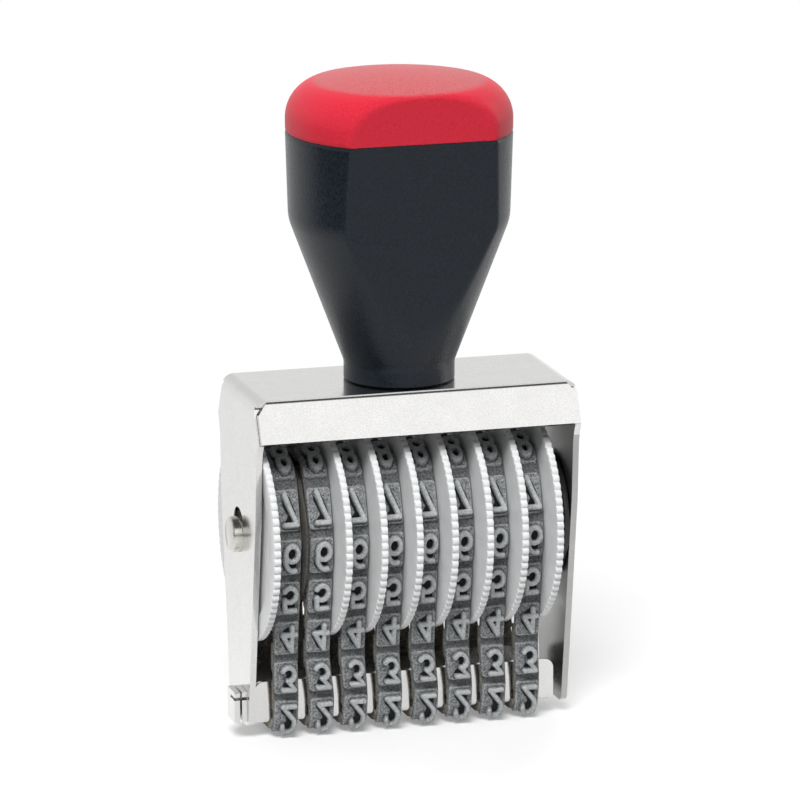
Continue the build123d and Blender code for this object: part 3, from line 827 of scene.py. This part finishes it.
def rounded_box(u, v, half_u, half_v, corner):
    """Signed distance outside a rounded rectangle, negative inside."""
    du, dv = np.abs(u) - half_u + corner, np.abs(v) - half_v + corner
    outside = np.hypot(np.maximum(du, 0), np.maximum(dv, 0))
    return outside + np.minimum(np.maximum(du, dv), 0) - corner


def wander(rng, shape, cells):
    """Smooth random numbers from -1 to 1 over a grid, with this many cells each way."""
    knots = rng.uniform(-1, 1, (cells[0] + 3, cells[1] + 3))
    ri = np.linspace(0, cells[0], shape[0], endpoint=False)
    ci = np.linspace(0, cells[1], shape[1], endpoint=False)
    r0, c0 = ri.astype(int), ci.astype(int)
    rt, ct = ramp(ri - r0, 0, 1)[:, None], ramp(ci - c0, 0, 1)[None]
    a, b = knots[np.ix_(r0, c0)], knots[np.ix_(r0, c0 + 1)]
    c, d = knots[np.ix_(r0 + 1, c0)], knots[np.ix_(r0 + 1, c0 + 1)]
    return (a * (1 - ct) + b * ct) * (1 - rt) + (c * (1 - ct) + d * ct) * rt


def pad_height(character, u, v, rng):
    """One pad with its figure, over a grid of u across and v along the belt.

    Gives its height above the band, the distance from its strokes, its relief for the material,
    which is paler where it is higher as painted light, and the distance from its edge."""
    edge = rounded_box(u, v, PAD_HALF_WIDTH, PAD_HALF_LENGTH, PAD_CORNER)
    bumps = wander(rng, u.shape, BUMPS)
    height = PLATFORM * (1 - ramp(edge, -0.14, 0.0)) + UNEVEN * bumps * (edge < -0.2)
    # Figures stand head down on the front of the belt, as type does.
    move_across, move_along = (rng.uniform(-most, most) for most in FIGURE_MOVES)
    across, along = u - FIGURE_SHIFT + move_across, -v + move_along
    away = stroke_distance(PAD_FIGURES[character], across, along)
    foot_edge = STROKE + FOOT_WIDTH
    foot = FOOT * (1 - ramp(away, foot_edge - 0.06, foot_edge + 0.06))
    on_face = 1 - ramp(away, STROKE - 0.02, STROKE + 0.1)
    face = (TYPE_HEIGHT - PLATFORM - FOOT) * on_face
    # Painted highlight: a pale line just inside each pad's edge; the feet of the strokes are
    # painted paler too.
    edge_highlight = 0.32 * ramp(edge, -0.40, -0.22) * (1 - ramp(edge, -0.12, -0.04))
    on_foot = 0.28 * (1 - ramp(away, foot_edge - 0.06, foot_edge + 0.04))
    relief = height / TYPE_HEIGHT + edge_highlight + on_foot + 0.6 * on_face
    return np.minimum(height + foot + face, TYPE_HEIGHT), away, np.clip(relief, 0, 1), edge


def blurred(values, reach, outside):
    """Mean over a square window; the belt is endless along its rows and open at its sides."""
    window = 2 * reach + 1
    wide = np.pad(values, ((0, 0), (reach, reach)), constant_values=outside)
    along = sum(np.roll(wide, k, 0) for k in range(-reach, reach + 1)) / window
    return sum(along[:, k : k + values.shape[1]] for k in range(window)) / window


def belt_mesh(number):
    """A belt's points, quads and the numbers that its material reads."""
    rng = np.random.default_rng(SEED + number)
    low, high = node_box(f"belt_{number}")
    middle = (low[0] + high[0]) / 2
    half = BELT_WIDTH / 2
    rows = CHARACTERS * ROWS_PER_CHARACTER
    s = (np.arange(rows) + 0.5) / ROWS_PER_CHARACTER * CHARACTER_PITCH - CHARACTER_PITCH / 2
    across = np.linspace(-half + SIDE_ROUNDING, half - SIDE_ROUNDING, COLUMNS)
    height, nearest, relief, edge = np.zeros((4, rows, COLUMNS))
    for character in range(CHARACTERS):
        band = slice(character * ROWS_PER_CHARACTER, (character + 1) * ROWS_PER_CHARACTER)
        v = s[band] - character * CHARACTER_PITCH
        uu, vv = np.meshgrid(across, v)
        height[band], nearest[band], relief[band], edge[band] = pad_height(character, uu, vv, rng)
    # Painted shade: dark where a pad lies low between its strokes, and in a faint line round each
    # stroke.
    sunk = blurred(height, BLUR, PLATFORM) - height
    beside_stroke = ramp(nearest, STROKE + 0.1, STROKE + 0.2)
    hollow = ramp(sunk, 0.16, 0.32) * beside_stroke * (1 - ramp(edge, -0.75, -0.55))
    outline = ramp(nearest, STROKE + 0.10, STROKE + 0.18)
    outline = outline * (1 - ramp(nearest, STROKE + 0.22, STROKE + 0.36))
    hollow = np.maximum(hollow, 0.5 * outline)
    from_notch = np.abs(np.mod(s + CHARACTER_PITCH / 2, CHARACTER_PITCH) - CHARACTER_PITCH / 2)
    notch_wall = NOTCH_WIDTH / 2
    in_notch = 1 - ramp(from_notch, notch_wall - 0.06, notch_wall + 0.06)
    inner = -NEUTRAL + NOTCH_DEPTH * in_notch
    outer = NEUTRAL + height
    # The columns of points: outer face, right side, middle of the inner face, left side.
    table = {key: [] for key in ("u", "h", "relief", "hollow", "side")}

    def column(*values):
        for key, value in zip(table, values):
            table[key].append(np.broadcast_to(value, (rows,)))

    for j in range(COLUMNS):
        column(across[j], outer[:, j], relief[:, j], hollow[:, j], 0.0)
    for side in (1, -1):
        top = outer[:, -1 if side > 0 else 0] - SIDE_ROUNDING
        wall = [
            (half, top),
            (half, np.minimum(top, NEUTRAL) - 0.02),
            (half, inner + SIDE_ROUNDING),
            (half - SIDE_ROUNDING, inner),
        ]
        for u, h in wall[::side]:
            column(side * u, h, 0.3, 0.0, 1.0)
        if side > 0:
            # The middle of the inner face takes some painted shade through hollow.
            column(0.0, inner, 0.1, 0.3, 0.5)
    u, h, *shades = (np.stack(values, 1) for values in table.values())
    from_top = np.abs(s - BELT_LENGTH / 2)
    rise = OPEN_SLACK if number < 3 else SLACK
    slack = rise * (1 - ramp(from_top, SLACK_FLAT * SLACK_SPAN, SLACK_SPAN))
    y, z = on_belt(np.repeat(s[:, None], u.shape[1], 1), h + slack[:, None])
    x = middle + u + ASKEW[number - 1] * ramp(ASKEW_FROM - z, 0, ASKEW_OVER)
    points = np.stack([x, y, z], -1).reshape(-1, 3)
    faces = grid_faces(rows, u.shape[1], True, True)
    return points, faces, {key: shade.ravel() for key, shade in zip(list(table)[2:], shades)}


for number in range(1, BELTS + 1):
    points, faces, shades = belt_mesh(number)
    belt = new_mesh(f"type_belt_{number}", points, faces, FINISH["type_rubber"], None, shades)
    place(belt, "frame", "type_rubber", f"belt_{number}")


# ============================================================================
# Studio: pale floor, soft lamps and the camera
# ============================================================================
FLOOR_RADIUS = 0.22
FLOOR_SIDES = 96
FLOOR_FADE = (0.045, 0.13)  # distances from the middle over which the floor changes
FLOOR_GLOW = (0.27, 0.96)   # near the object and far from it
FLOOR_GREY = (0.72, 0.06)
AMBIENT = 0.15
# The studio in reflections, as stops of (sine of the height above the horizon, shade).
BACK_SHADES = (
    (-1.0, 1.0), (0.14, 1.0), (0.27, 0.9), (0.5, 0.75), (0.78, 0.6), (0.88, 0.12), (1.0, 0.08),
)
FRONT_SHADES = (
    (-1.0, 0.9), (-0.05, 0.9), (0.0, 0.2), (0.10, 0.2), (0.22, 0.9), (0.40, 1.35), (0.66, 1.35),
    (0.76, 0.12), (1.0, 0.08),
)
SIDE_SHADES = (
    (-1.0, 0.75), (-0.42, 0.62), (-0.3, 0.02), (0.05, 0.02), (0.14, 1.0), (0.36, 1.0), (0.46, 0.1),
    (1.0, 0.05),
)
FRONT = (0.0, -1.0)
DARK_SIDE = (-0.93, -0.36)  # where SIDE_SHADES stand


def seen_directly(nodes, links):
    """A socket that is 1 for camera, transmission and glossy rays and 0 for the rest."""
    path = nodes.new("ShaderNodeLightPath")
    socket = path.outputs["Is Camera Ray"]
    for ray in ("Is Transmission Ray", "Is Glossy Ray"):
        either = nodes.new("ShaderNodeMath")
        either.operation = "MAXIMUM"
        links.new(socket, either.inputs[0])
        links.new(path.outputs[ray], either.inputs[1])
        socket = either.outputs[0]
    return socket


def studio_floor():
    """A pale floor that glows enough to be white where it is seen, and keeps its shadows."""
    material = bpy.data.materials.new("studio_floor")
    material.use_nodes = True
    nodes, links = material.node_tree.nodes, material.node_tree.links
    shader = nodes["Principled BSDF"]
    shader.inputs["Roughness"].default_value = 0.9
    shader.inputs["Specular IOR Level"].default_value = 0.0
    shader.inputs["Emission Color"].default_value = (1, 1, 1, 1)
    position = nodes.new("ShaderNodeTexCoord")
    distance = nodes.new("ShaderNodeVectorMath")
    distance.operation = "LENGTH"
    links.new(position.outputs["Object"], distance.inputs[0])

    def by_distance(near, far):
        node = nodes.new("ShaderNodeMapRange")
        set_range(node, *FLOOR_FADE, near, far)
        links.new(distance.outputs["Value"], node.inputs["Value"])
        return node.outputs["Result"]

    links.new(by_distance(*FLOOR_GREY), shader.inputs["Base Color"])
    strength = nodes.new("ShaderNodeMath")
    strength.operation = "MULTIPLY"
    links.new(seen_directly(nodes, links), strength.inputs[0])
    links.new(by_distance(*FLOOR_GLOW), strength.inputs[1])
    links.new(strength.outputs[0], shader.inputs["Emission Strength"])
    mesh = bpy.data.meshes.new("floor")
    angles = [2 * math.pi * k / FLOOR_SIDES for k in range(FLOOR_SIDES)]
    rim = [(FLOOR_RADIUS * math.cos(a), FLOOR_RADIUS * math.sin(a), 0) for a in angles]
    mesh.from_pydata(rim, [], [range(FLOOR_SIDES)])
    floor = bpy.data.objects.new("floor", mesh)
    floor.data.materials.append(material)
    floor.location.z = -0.02 * MM
    bpy.context.scene.collection.objects.link(floor)


def studio_world():
    """White behind the object, a studio's walls and ceiling in reflections, and a dim dome."""
    world = bpy.data.worlds.new("studio")
    bpy.context.scene.world = world
    world.use_nodes = True
    nodes, links = world.node_tree.nodes, world.node_tree.links
    background = nodes["Background"]
    direction = nodes.new("ShaderNodeTexCoord")
    axes = nodes.new("ShaderNodeSeparateXYZ")
    links.new(direction.outputs["Generated"], axes.inputs[0])
    rise = nodes.new("ShaderNodeMapRange")
    rise.inputs["From Min"].default_value = -1.0
    links.new(axes.outputs["Z"], rise.inputs["Value"])

    def shades(stops):
        """The shade at a direction's height."""
        by_height = nodes.new("ShaderNodeValToRGB")
        while len(by_height.color_ramp.elements) < len(stops):
            by_height.color_ramp.elements.new(0.5)
        for element, (height, shade) in zip(by_height.color_ramp.elements, stops):
            element.position = (height + 1) / 2
            element.color = (shade, shade, shade, 1)
        links.new(rise.outputs["Result"], by_height.inputs["Fac"])
        return by_height.outputs["Color"]

    def blend(factor, first, second):
        """The first shade where factor is 0 and the second where it is 1."""
        node = nodes.new("ShaderNodeMix")
        node.data_type = "RGBA"
        links.new(factor, node.inputs[0])
        for value, socket in ((first, node.inputs[6]), (second, node.inputs[7])):
            if isinstance(value, float):
                socket.default_value = (value, value, value, 1)
            else:
                links.new(value, socket)
        return node.outputs[2]

    def towards(x, y, start, full):
        """0 to 1 as a direction turns towards (x, y)."""
        product = nodes.new("ShaderNodeVectorMath")
        product.operation = "DOT_PRODUCT"
        links.new(direction.outputs["Generated"], product.inputs[0])
        product.inputs[1].default_value = (x, y, 0)
        node = nodes.new("ShaderNodeMapRange")
        node.interpolation_type = "SMOOTHSTEP"
        node.inputs["From Min"].default_value = start
        node.inputs["From Max"].default_value = full
        links.new(product.outputs["Value"], node.inputs["Value"])
        return node.outputs["Result"]

    walls = blend(towards(*FRONT, -0.15, 0.15), shades(BACK_SHADES), shades(FRONT_SHADES))
    walls = blend(towards(*DARK_SIDE, 0.55, 0.85), walls, shades(SIDE_SHADES))
    path = nodes.new("ShaderNodeLightPath")
    lit = blend(path.outputs["Is Glossy Ray"], AMBIENT, walls)
    lit = blend(path.outputs["Is Transmission Ray"], lit, 1.0)
    lit = blend(path.outputs["Is Camera Ray"], lit, 1.0)
    links.new(lit, background.inputs["Color"])
    background.inputs["Strength"].default_value = 1.0


def face_towards(obj, direction):
    """Turns a lamp or a camera so that it looks along a direction, upright."""
    obj.rotation_mode = "QUATERNION"
    obj.rotation_quaternion = direction.to_track_quat("-Z", "Y")


def lamp(name, place_m, aim_height, size, power, in_reflections=False):
    data = bpy.data.lights.new(name, "AREA")
    data.shape = "RECTANGLE"
    data.size, data.size_y = size
    data.energy = power
    obj = bpy.data.objects.new(name, data)
    bpy.context.scene.collection.objects.link(obj)
    obj.location = place_m
    face_towards(obj, Vector((0, 0, aim_height)) - Vector(place_m))
    obj.visible_glossy = in_reflections


studio_floor()
studio_world()
lamp("key", (-0.27, -0.56, 0.75), 0.04, (0.45, 0.4), 9.4)
lamp("left_strip", (-0.60, 0.45, 0.30), 0.05, (0.3, 0.5), 0.8)
lamp("right_strip", (0.70, 0.05, 0.30), 0.05, (0.3, 0.5), 0.8, in_reflections=True)
lamp("back_fill", (0.30, 0.75, 0.28), 0.05, (0.5, 0.5), 2.2)
lamp("back_top", (0.08, 0.45, 0.72), 0.05, (0.6, 0.4), 1.6)

# The camera, fitted to the photograph's perspective.
CAMERA_AZIMUTH = math.radians(-16.63)
CAMERA_ELEVATION = math.radians(13.66)
CAMERA_DISTANCE = 907.95 * MM
CAMERA_AIM = Vector((0, 0, 45 * MM))
back = Vector((
    math.sin(CAMERA_AZIMUTH) * math.cos(CAMERA_ELEVATION),
    -math.cos(CAMERA_AZIMUTH) * math.cos(CAMERA_ELEVATION),
    math.sin(CAMERA_ELEVATION),
))
camera_data = bpy.data.cameras.new("camera")
camera_data.sensor_width = 36
camera_data.lens = 283.35
camera_data.shift_x = 0.0012
camera_data.shift_y = 0.0226
camera_data.clip_start = 0.05
camera_data.clip_end = 20
camera = bpy.data.objects.new("camera", camera_data)
bpy.context.scene.collection.objects.link(camera)
camera.location = CAMERA_AIM + back * CAMERA_DISTANCE
face_towards(camera, -back)
bpy.context.scene.camera = camera
bpy.context.scene.view_settings.view_transform = "Standard"

bpy.context.view_layer.update()
